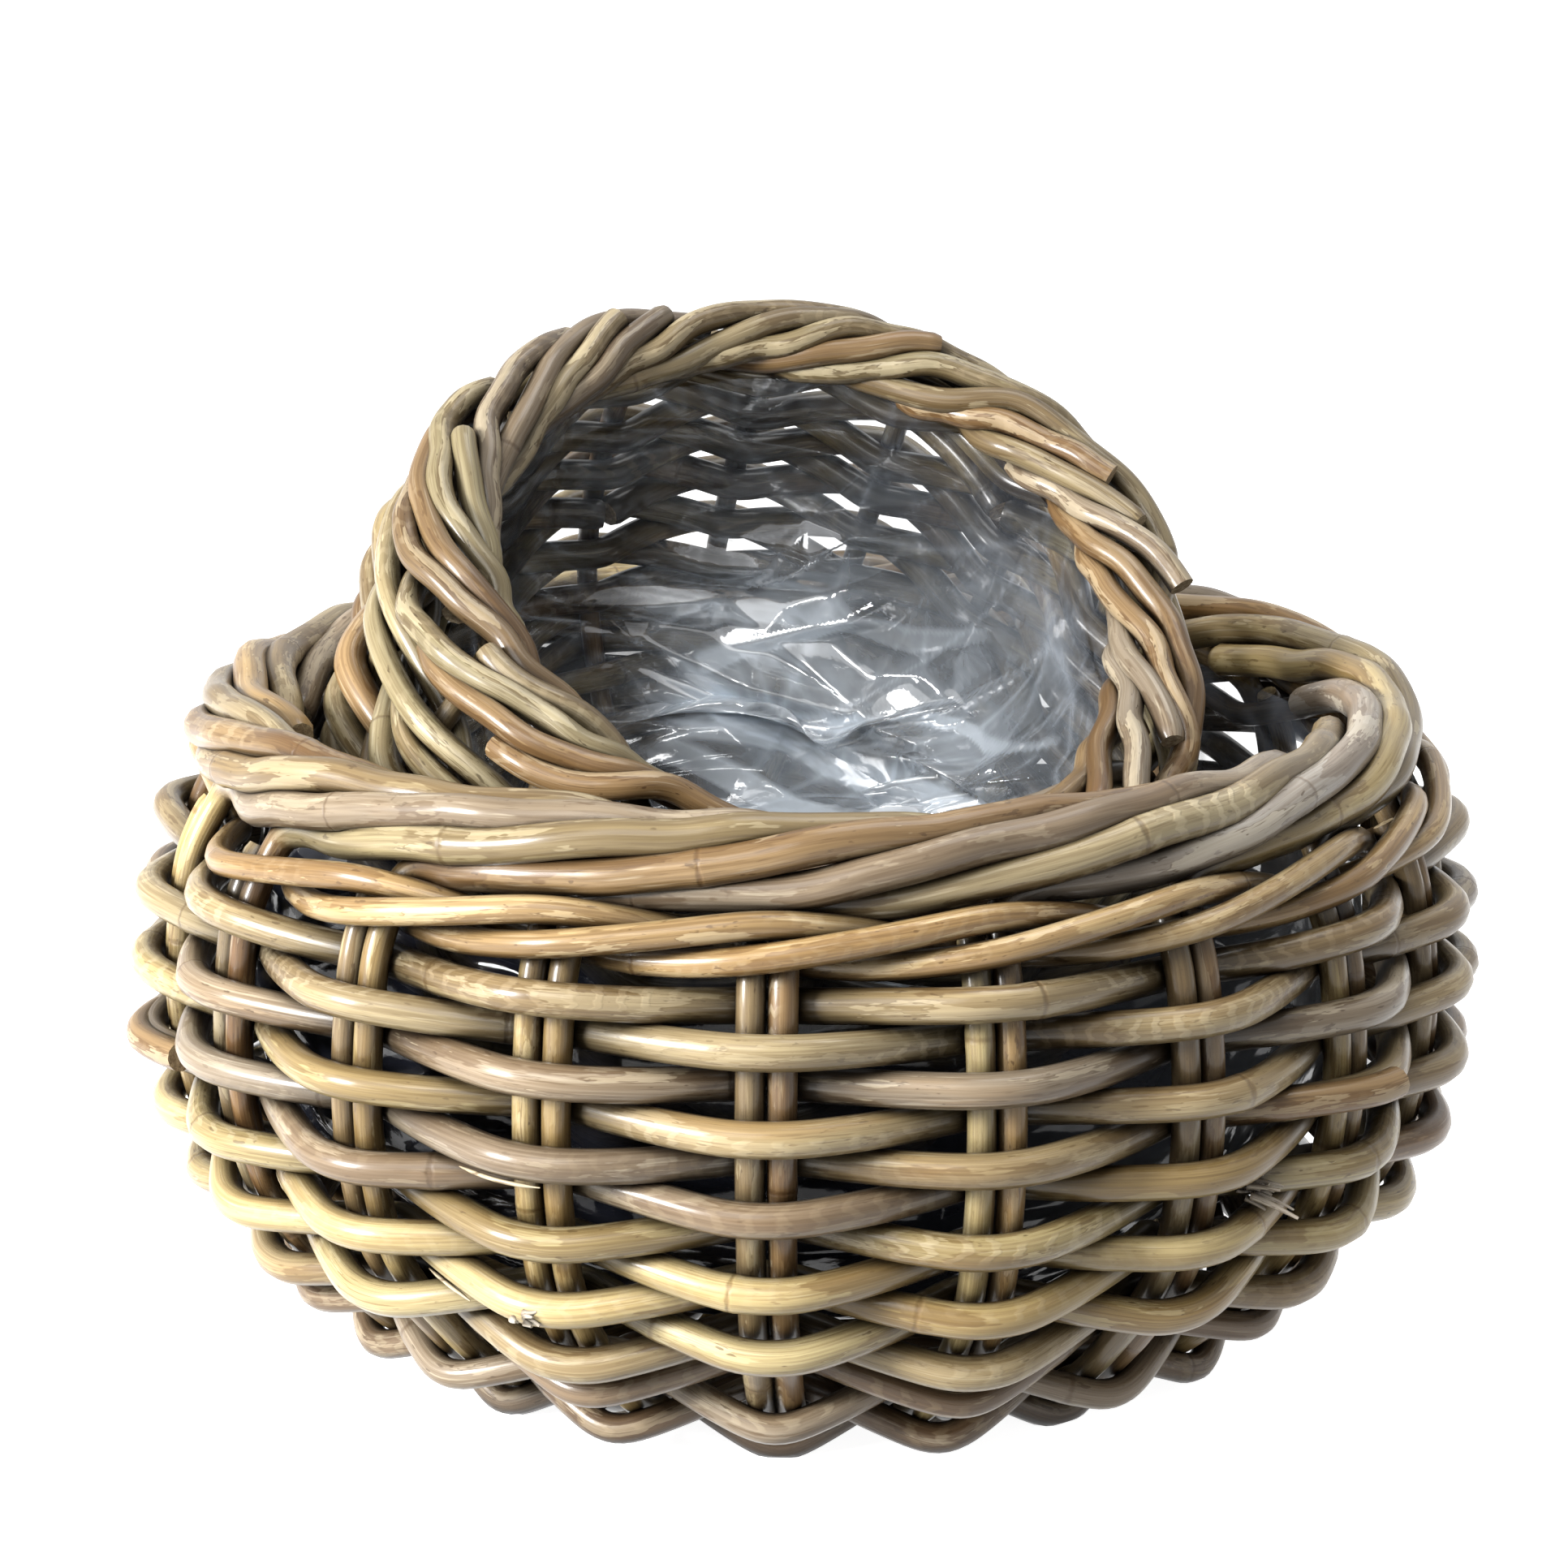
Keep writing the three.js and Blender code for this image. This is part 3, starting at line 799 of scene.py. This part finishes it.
def film_material(name, gloss):
    """Thin film: almost unseen face on, milky along creases, where it lies double and where it turns away."""
    n = Nodes(bpy.data.materials.new(name))
    look = n.add("ShaderNodeAttribute", attribute_name="film_look").outputs
    crease, layers, bunched_and_painted_light = n.add("ShaderNodeSeparateXYZ", {0: look["Vector"]}).outputs
    painted_shade = look["Alpha"]
    place = n.add("ShaderNodeTexCoord").outputs["Object"]
    haze = n.add("ShaderNodeTexNoise", {"Vector": place, "Scale": 32.0, "Detail": 4.0}).outputs["Fac"]
    wrinkle = n.add("ShaderNodeTexNoise", {"Vector": place, "Scale": 160.0, "Detail": 3.0}).outputs["Fac"]
    edge_on = n.math("POWER", n.add("ShaderNodeLayerWeight", {"Blend": 0.4}).outputs["Facing"], 1.5)
    # The alpha also carries painted light, more opaque where the film is lit, and painted shade, which makes
    # the large film nearly opaque.
    alpha = n.times(bunched_and_painted_light, n.ramp(haze, 0.35, 0.70, 0.32, 0.72))
    for part, weight in ((layers, 0.58), (crease, 0.46), (painted_shade, 0.68), (edge_on, 0.10)):
        alpha = n.plus(alpha, n.times(part, weight))
    alpha = n.plus(alpha, 0.035, clamp=True)
    bump = n.add("ShaderNodeBump", {"Height": wrinkle, "Strength": 0.10, "Distance": 0.001})
    colours = bpy.context.scene.cane_colours
    # Painted light: the film is milky where it bunches on its lit half, and where it lies double.
    milky = n.plus(n.times(bunched_and_painted_light, 0.8), n.times(layers, 0.4), clamp=True)
    body = n.mix(milky, tuple(colours.film), tuple(colours.milk))
    # Painted shade: the large film's colour is darkened almost to black.
    body = n.mix(painted_shade, body, n.darker(body, (0.045, 0.045, 0.055)))
    shader = n.add("ShaderNodeBsdfPrincipled", {
        "Base Color": body, "Roughness": 0.06, "Alpha": alpha,
        "Normal": bump.outputs[0], "IOR": 2.2, "Specular IOR Level": gloss,
        "Coat Weight": gloss, "Coat Roughness": 0.05, "Coat IOR": 1.8,
    })
    return n.surface(shader.outputs[0])


def baskets(seed):
    """Both baskets, each with its own run of random numbers."""
    return (Basket("large"), random.Random(seed)), (Basket("small"), random.Random(seed + 1))


class PLANTER_OT_uprights(bpy.types.Operator):
    """Lays the uprights across the base, up the wall and into the border rope"""

    bl_idname = "planter.uprights"
    bl_label = "Uprights and border"

    def execute(self, context):
        for basket, rng in baskets(11):
            sides = (-1, 1) if basket.paired else (0,)
            lanes = [(a, i, s) for a in (0, 1) for i in range(basket.each_way) for s in sides]
            for count, lane in enumerate(lanes, 1):
                self.one(basket, count, lane, rng)
        return {"FINISHED"}

    def one(self, basket, count, lane, rng):
        path, near_end, far_end = basket.upright_path(*lane)
        z = basket.sizes
        gone = along(path)
        share = gone / gone[-1]
        # The two arms differ in colour, and the change is hidden under the base.
        if basket.paired:
            grey = one_of(("taupe", "straw", "taupe"), rng)
            tan = one_of(("honey", "brown", "straw"), rng)
            near, far = (grey, tan) if lane[2] > 0 else (tan, grey)
            tails = ("brown", "olive", "honey", "taupe", "mauve", "straw")
        else:
            near = one_of(("olive", "taupe"), rng)
            far = one_of(("olive", "brown"), rng)
            tails = ("olive", "olive", "brown", "brown", "taupe", "mauve")
        tint = near + np.clip((share - 0.45) / 0.1, 0, 1)[:, None] * (far - near)
        girth = np.ones(len(path))
        scarred = rng.choice((0.0, 0.0, 0.0, 0.35))
        laid_in = []
        for (rope, number), at_end in ((near_end, gone), (far_end, gone[-1] - gone)):
            if rope:
                inside = np.clip((rope + ROPE_EASE - at_end) / ROPE_EASE, 0, 1)
                name = rng.choice(tails)
                if basket.paired:
                    name = BORDER_COLOURS.get(number, name)
                    scarred = 1.0 if number == SCARRED_STRAND else scarred
                # Painted shade: the rope's strands are darkened, and those on the far side of the rope more
                # so.
                far_side = max(math.sin(basket.first_arm + (number - 2) * basket.step), 0)
                shade = basket.border.shade * (1 - basket.border.far_painted_shade * far_side)
                tint = tint + inside[:, None] * (shade_of(name, rng) * shade - tint)
                girth = girth + inside * (z.strand / z.upright - 1)
                if not basket.paired:
                    strand, its = basket.laid_in(number)
                    own = one_of(tails, its) * shade
                    laid_in.append((basket.placed(strand), z.strand, own, np.ones(len(strand))))
        finished_cane(
            basket, f"_upright_{count:02d}", basket.placed(path), z.upright, tint, rng,
            (scarred, rng.uniform(0.3, 1.0), rng.uniform(0.30, 0.42)), girth, loose=laid_in,
        )


class PLANTER_OT_weavers(bpy.types.Operator):
    """Weaves the wall rows, in front of one upright and behind the next"""

    bl_idname = "planter.weavers"
    bl_label = "Wall rows"

    def execute(self, context):
        for basket, rng in baskets(21):
            for row in range(WALL_ROWS):
                self.one(basket, row, rng)
        return {"FINISHED"}

    def one(self, basket, row, rng):
        path, outside = basket.row_path(row, rng)
        share = along(path)
        share = share / share[-1]
        names = ("olive", "taupe", "olive", "straw", "brown")
        if basket.paired:
            names = next(colours for end, colours in ROW_COLOURS if row < end)
        # A row is pieced from a few lengths, which meet behind uprights.
        joins = sorted(2 * rng.randrange(1, basket.arms // 2) / basket.arms for _ in range(3))
        tint = np.empty((len(path), 3))
        for low, high in zip([0] + joins, joins + [1.01]):
            tint[(share >= low) & (share < high)] = one_of(names, rng)
        # Painted shade: the row's colour is darkened where it passes inside, behind the uprights.
        hidden = basket.weave.inside_painted_shade
        tint *= (hidden + (1 - hidden) * outside)[:, None]
        path = basket.placed(path)
        finished_cane(
            basket, f"_weaver_row_{row + 1:02d}", path, basket.sizes.weaver, tint, rng,
            (rng.choice((0.0, 0.15, 0.3, 0.55)), rng.uniform(0.3, 1.0), rng.uniform(0.26, 0.38)),
            loose=self.loose_ends(basket, row, path) if basket.paired else (),
        )

    def loose_ends(self, basket, row, path):
        """Frayed ends, split strips and splices on one row."""
        rng = random.Random(61 + row)
        thick = basket.sizes.weaver
        pale = shade_of("scar", rng)
        torn = 0.5 * pale + 0.42
        pieces = []

        def spot(share):
            i = int(share * (len(path) - 1))
            way = path[i + 3] - path[i]
            out = path[i] * (1, 1, 0)
            return i, way / np.linalg.norm(way), out / np.linalg.norm(out)

        for share, count, length in (end[1:] for end in FRAYED_ENDS if end[0] == row):
            i, way, out = spot(share)
            t = np.linspace(0, 1, FIBRE_RINGS)[:, None]
            for _ in range(count):
                stray = np.array([rng.gauss(0, 1) for _ in range(3)])
                curl = np.array([rng.gauss(0, 0.3) for _ in range(3)])
                start = path[i] + thick * (0.52 * out + 0.16 * stray)
                bow = t * (0.9 * way + 0.25 * out + 0.2 * stray) + t * t * curl
                points = start + length * rng.uniform(0.4, 1) * bow
                pieces.append((points, rng.uniform(0.0012, 0.0028), torn, np.linspace(1, 0.35, FIBRE_RINGS)))
        for share, length in (strip[1:] for strip in LOOSE_STRIPS if strip[0] == row):
            i, _, out = spot(share)
            points = evenly(path[i:i + int(length / RING_SPACING)] + thick * (0.35 * out - (0, 0, 0.52)))
            girth = np.interp(np.linspace(0, 1, len(points)), (0, 0.2, 0.8, 1), (0.3, 1, 1, 0.3))
            pieces.append((points, STRIP_WIDTH, pale, girth))
        for share in (splice[1] for splice in SPLICES if splice[0] == row):
            i, _, out = spot(share)
            lift = np.linspace(0, 1, SPLICE_RINGS)[:, None] ** 0.7
            points = path[i + 1 - SPLICE_RINGS:i + 1] + lift * (0.62 * thick * out + (0, 0, 0.18 * thick))
            pieces.append((points, 0.92 * thick, shade_of("brown", rng), np.ones(SPLICE_RINGS)))
        return pieces


class PLANTER_OT_base_weave(bpy.types.Operator):
    """Winds the cane of the foot and base round the fanned uprights"""

    bl_idname = "planter.base_weave"
    bl_label = "Base and foot"

    def execute(self, context):
        for basket, rng in baskets(31):
            path = basket.placed(basket.base_path())
            names = ("umber", "umber", "mauve") if basket.paired else ("olive", "taupe", "umber")
            gone = along(path)
            tint = np.empty((len(path), 3))
            low = 0.0
            while low < gone[-1]:
                high = low + rng.uniform(0.5, 0.9)
                tint[(gone >= low) & (gone <= high)] = one_of(names, rng)
                low = high
            finished_cane(
                basket, "_base_weave", path, basket.sizes.base_cane, tint, rng,
                BASE_MARKS, floor=0.0 if basket.paired else None,
            )
        return {"FINISHED"}


class PLANTER_OT_wale(bpy.types.Operator):
    """Twines three thin canes round the wall under the border"""

    bl_idname = "planter.wale"
    bl_label = "Wale"

    def execute(self, context):
        for basket, rng in baskets(41):
            for k in range(WALE_CANES):
                path = basket.placed(basket.wale_path(k, rng))
                names = ("honey",) if basket.paired else ("olive", "brown")
                tint = np.broadcast_to(one_of(names, rng), (len(path), 3))
                finished_cane(
                    basket, f"_wale_cane_{k + 1}", path, basket.sizes.wale, tint, rng,
                    WALE_MARKS,
                )
        return {"FINISHED"}


def scattered(rng, area):
    """A random place on a round sheet."""
    far, turn = area * math.sqrt(rng.random()), rng.uniform(0, 2 * math.pi)
    return far * math.cos(turn), far * math.sin(turn)


def by_a_fold(rng, a, b, area, spread):
    """How far along and across a fold, laid at random near the common way, the sheet's points are."""
    x, y = scattered(rng, area)
    lie = FOLD_LIE + rng.uniform(-spread, spread)
    da, db = a - x, b - y
    return da * math.cos(lie) + db * math.sin(lie), db * math.cos(lie) - da * math.sin(lie)


def facets(rng, a, b, count, area, stretch, height):
    """A crumpled flat sheet: its height and how near a crease each point is."""
    corners = []
    for _ in range(count):
        x, y = scattered(rng, area)
        corners.append((x / stretch, y))
    for k in range(RIM_CORNERS):
        turn, far = 2 * math.pi * k / RIM_CORNERS, 1.2 * area
        corners.append((far * math.cos(turn) / stretch, far * math.sin(turn)))
    corners, _, triangles, *_ = delaunay_2d_cdt([Vector(c) for c in corners], [], [], 0, 1e-7)
    tall = [rng.uniform(-height, height) for _ in corners]
    x, y = a / stretch, b
    rise, crease = np.zeros_like(a), np.zeros_like(a)
    for i, j, k in triangles:
        rng.random()  # Keeps the draws that follow in step.
        p, q, r = corners[i], corners[j], corners[k]
        twice = (q.y - r.y) * (p.x - r.x) + (r.x - q.x) * (p.y - r.y)
        if abs(twice) < 1e-10:
            continue
        u = ((q.y - r.y) * (x - r.x) + (r.x - q.x) * (y - r.y)) / twice
        v = ((r.y - p.y) * (x - r.x) + (p.x - r.x) * (y - r.y)) / twice
        w = 1 - u - v
        here = (u >= 0) & (v >= 0) & (w >= 0)
        rise[here] = (u * tall[i] + v * tall[j] + w * tall[k])[here]
        sides = [abs(twice) / (m - n).length for m, n in ((q, r), (r, p), (p, q))]
        near = np.minimum(np.minimum(u * sides[0], v * sides[1]), w * sides[2])
        crease[here] = np.clip(1 - near / CREASE_WIDTH, 0, 1)[here] ** 2
    return rise, crease


def tents(rng, a, b, count, area, reach, width, height, spread):
    """Long straight folds that stand up from a flat sheet and fade out along their length."""
    total = np.zeros_like(a)
    for _ in range(count):
        p, q = by_a_fold(rng, a, b, area, spread)
        half, wide = reach * rng.uniform(0.6, 1.4), width * rng.uniform(0.6, 1.4)
        tall = height * rng.uniform(0.5, 1.0)
        tent = tall * np.clip(1 - np.abs(q) / wide, 0, None) * np.clip(1 - np.abs(p) / half, 0, None)
        total = np.maximum(total, tent)
    return total


def doubled(rng, a, b, count, area, reach, width, spread):
    """Straight strips where the film lies double, and the crease along one edge of each."""
    layers, edges = np.zeros_like(a), np.zeros_like(a)
    for _ in range(count):
        p, q = by_a_fold(rng, a, b, area, spread)
        p = p / (reach * rng.uniform(0.5, 1.5))
        wide = width * rng.uniform(0.4, 1.6) * (1 - rng.uniform(0.2, 0.9) * (p + 1) / 2)
        level = rng.uniform(0.35, 1.0)
        within = np.clip((1 - np.abs(p)) / 0.08, 0, 1)
        layers = np.maximum(layers, level * within * np.clip((wide - np.abs(q)) / 0.0012, 0, 1))
        edges = np.maximum(edges, within * np.clip(1 - np.abs(q - wide) / 0.0018, 0, 1))
    return layers, edges


class PLANTER_OT_liners(bpy.types.Operator):
    """Hangs a bag of clear film in each basket, drawn into folds and crumpled"""

    bl_idname = "planter.liners"
    bl_label = "Film liners"

    def execute(self, context):
        (large, large_rng), (small, small_rng) = baskets(51)
        self.hang(large, large_rng, small)
        self.hang(small, small_rng, None)
        return {"FINISHED"}

    def hang(self, basket, rng, keep_off):
        z, film = basket.sizes, FILMS[basket.label]
        bpy.ops.object.select_all(action="DESELECT")
        bpy.ops.mesh.primitive_grid_add(x_subdivisions=FILM_GRID[0], y_subdivisions=FILM_GRID[1], size=2)
        obj = bpy.context.object
        obj.name = basket.label + "_liner_film"
        mesh = obj.data
        mesh.name = obj.name
        flat = np.empty(len(mesh.vertices) * 3)
        mesh.vertices.foreach_get("co", flat)
        flat = flat.reshape(-1, 3)
        angle = (flat[:, 0] + 1) * math.pi
        share = (flat[:, 1] + 1) / 2
        inside = 1.35 * basket.pass_height(z.weaver) + z.weaver / 2 + 0.0015
        top = basket.length + film.rise
        s = share * top
        a, b = s * np.cos(angle), s * np.sin(angle)

        # The base bunches up and the wall stays drawn. The film is milky low down, where it bunches, and
        # higher up on its slack side. This milkiness is partly painted light: it is kept to the lit half of
        # the film, and the other half is left almost clear.
        high = step_between(s, basket.arcs[1] + inside, basket.length)
        slack = 0.5 + 0.5 * np.cos(angle - SLACK_AND_LIT_SIDE)
        foot = basket.arcs[1] * 0.95
        low = 1 - step_between(s, foot, basket.arcs[3] + 0.095 * slack)
        milky = 1 - step_between(s, foot + 0.05 * slack, basket.arcs[3] + 0.12 * slack)
        to_side = a * math.cos(SLACK_AND_LIT_SIDE) + b * math.sin(SLACK_AND_LIT_SIDE)
        milk_and_painted_light = milky * (0.08 + 0.92 * step_between(to_side, -0.022, 0.02))

        # Main folds, facets from long to short, then long folds that stand up or lie double.
        fold = (0.5 - 0.5 * np.cos(film.folds * angle)) * high * (1 - 0.7 * high) * z.weaver
        loose = 0.25 + 0.85 * low
        coarse, long_crease = facets(rng, a, b, 52, top, 3.0, film.crumple)
        fine, short_crease = facets(rng, a, b, 300, top, 2.2, 0.16 * film.crumple)
        lean, lean_crease = facets(rng, a, b, 110, top, 2.0, 0.8 * film.crumple)
        stand = tents(rng, a, b, 24, 0.7 * top, 0.10, 0.015, 1.5 * film.crumple, 0.6)
        layers, edges = doubled(rng, a, b, 44, 0.6 * top, 0.07, 0.006, 0.5)
        drop = fold + low * film.bunch + loose * (coarse + fine + stand)
        # Film that would pass into the wall lies against it instead.
        drop = 0.5 * (drop + np.sqrt(drop * drop + 4e-6))
        drop += z.liner_lift * (1 - share)
        past = np.clip(s - basket.length, 0, None)
        tucked = step_between(s, basket.length - 0.018, basket.length - 0.004)
        tuck = (inside - basket.pass_height(z.wale) - z.wale) * tucked

        def laid(k):
            sideways = k * loose * lean * np.minimum(share * 4, 1)
            p = basket.point(np.minimum(s, basket.length), angle, tuck - inside - k * drop, sideways)
            p[:, 2] += past
            return basket.placed(p)

        place = laid(1.0)
        if keep_off:
            for k in (0.6, 0.3, 0.0):
                near = keep_off.holds(place, FILM_CLEAR)
                place[near] = laid(k)[near]
        mesh.vertices.foreach_set("co", place.ravel())
        crease = np.clip(0.8 * long_crease + 0.4 * lean_crease + 0.15 * short_crease + edges, 0, 1)
        # Painted shade: the large film is painted dark and made nearly opaque, a little less so high on its
        # right side.
        dark = film.painted_shade * (1 - 0.6 * high * step_between(np.cos(angle), 0.2, 0.7))
        # Painted light: doubled strips and creases show on the lit half and fade on the other.
        layers *= 0.22 + 0.78 * milk_and_painted_light
        crease *= 0.4 + 0.6 * milk_and_painted_light
        look = np.stack([crease, layers, 0.05 + 0.95 * milk_and_painted_light, dark], 1)
        point_attribute(mesh, "film_look", "FLOAT_COLOR", look)
        lone(obj)
        bpy.ops.object.mode_set(mode="EDIT")
        bpy.ops.mesh.select_all(action="SELECT")
        bpy.ops.mesh.remove_doubles(threshold=0.00002)
        bpy.ops.mesh.normals_make_consistent(inside=False)
        bpy.ops.object.mode_set(mode="OBJECT")
        bpy.ops.object.shade_smooth()
        mesh.materials.append(film_material(obj.name, film.gloss))
        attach(obj, basket.body)
        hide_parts(basket.label + "_liner")


class PLANTER_OT_stage(bpy.types.Operator):
    """Adds the floor, the lights and the camera"""

    bl_idname = "planter.stage"
    bl_label = "Stage"

    def execute(self, context):
        self.floor(context)
        self.lights(context)
        self.camera(context)
        return {"FINISHED"}

    def floor(self, context):
        bpy.ops.object.select_all(action="DESELECT")
        bpy.ops.mesh.primitive_plane_add(size=60)
        floor = bpy.context.object
        floor.name = "floor"
        n = Nodes(bpy.data.materials.new("floor_white"))
        colour = (*context.scene.cane_colours.floor, 1)
        diffuse = n.add("ShaderNodeBsdfDiffuse", {"Color": colour}).outputs[0]
        shadow = n.add("ShaderNodeBsdfDiffuse", {"Color": (0.8, 0.8, 0.8, 1)}).outputs[0]
        place = n.add("ShaderNodeTexCoord").outputs["Object"]
        far = n.add("ShaderNodeVectorMath", {0: place}, operation="LENGTH").outputs["Value"]
        glow = n.add("ShaderNodeEmission", {
            "Color": (1, 1, 1, 1), "Strength": n.ramp(far, 0.4, 3.0, 0.93, 1.0),
        }).outputs[0]
        seen = n.add("ShaderNodeAddShader", {0: shadow, 1: glow}).outputs[0]
        both = n.add("ShaderNodeMixShader", {0: n.looked_at(), 1: diffuse, 2: seen}).outputs[0]
        floor.data.materials.append(n.surface(both))

    def lights(self, context):
        for name, (place, width, watts) in LAMPS.items():
            bpy.ops.object.light_add(type="AREA", location=place)
            lamp = bpy.context.object
            lamp.name = name
            lamp.data.size = width
            lamp.data.energy = watts
            lamp.rotation_euler = (LAMP_AIM - Vector(place)).to_track_quat("-Z", "Y").to_euler()
        world = context.scene.world or bpy.data.worlds.new("studio")
        context.scene.world = world
        n = Nodes(world)
        level = n.add("ShaderNodeMapRange", {"Value": n.looked_at(), "To Min": WORLD_LIGHT, "To Max": 1.0})
        back = n.add("ShaderNodeBackground", {"Color": (1, 1, 1, 1), "Strength": level.outputs["Result"]})
        n.surface(back.outputs[0], "ShaderNodeOutputWorld")

    def camera(self, context):
        bpy.ops.object.camera_add(location=CAMERA_PLACE, rotation=CAMERA_TURN)
        camera = bpy.context.object
        camera.name = "camera"
        camera.data.lens = CAMERA_LENS
        camera.data.sensor_width = 36
        camera.data.clip_end = 200
        context.scene.camera = camera
        context.scene.view_settings.view_transform = "Standard"


class PLANTER_PT_sidebar(bpy.types.Panel):
    """Lists the steps of the build"""

    bl_idname = "PLANTER_PT_sidebar"
    bl_label = "Planter baskets"
    bl_space_type = "VIEW_3D"
    bl_region_type = "UI"
    bl_category = "Planter"

    def draw(self, context):
        for step in STEPS:
            self.layout.operator(step.bl_idname)


STEPS = (
    PLANTER_OT_stage,
    PLANTER_OT_uprights,
    PLANTER_OT_weavers,
    PLANTER_OT_base_weave,
    PLANTER_OT_wale,
    PLANTER_OT_liners,
)
CLASSES = (LargeBasketSizes, SmallBasketSizes, CaneColours, *STEPS, PLANTER_PT_sidebar)


def register():
    for cls in CLASSES:
        bpy.utils.register_class(cls)
    scene = bpy.types.Scene
    scene.large_basket_sizes = bpy.props.PointerProperty(type=LargeBasketSizes)
    scene.small_basket_sizes = bpy.props.PointerProperty(type=SmallBasketSizes)
    scene.cane_colours = bpy.props.PointerProperty(type=CaneColours)


def unregister():
    for name in ("large_basket_sizes", "small_basket_sizes", "cane_colours"):
        delattr(bpy.types.Scene, name)
    for cls in reversed(CLASSES):
        bpy.utils.unregister_class(cls)


def main():
    register()
    bpy.ops.planter.stage()
    bpy.ops.planter.uprights()
    bpy.ops.planter.weavers()
    bpy.ops.planter.base_weave()
    bpy.ops.planter.wale()
    bpy.ops.planter.liners()


if __name__ == "__main__":
    main()
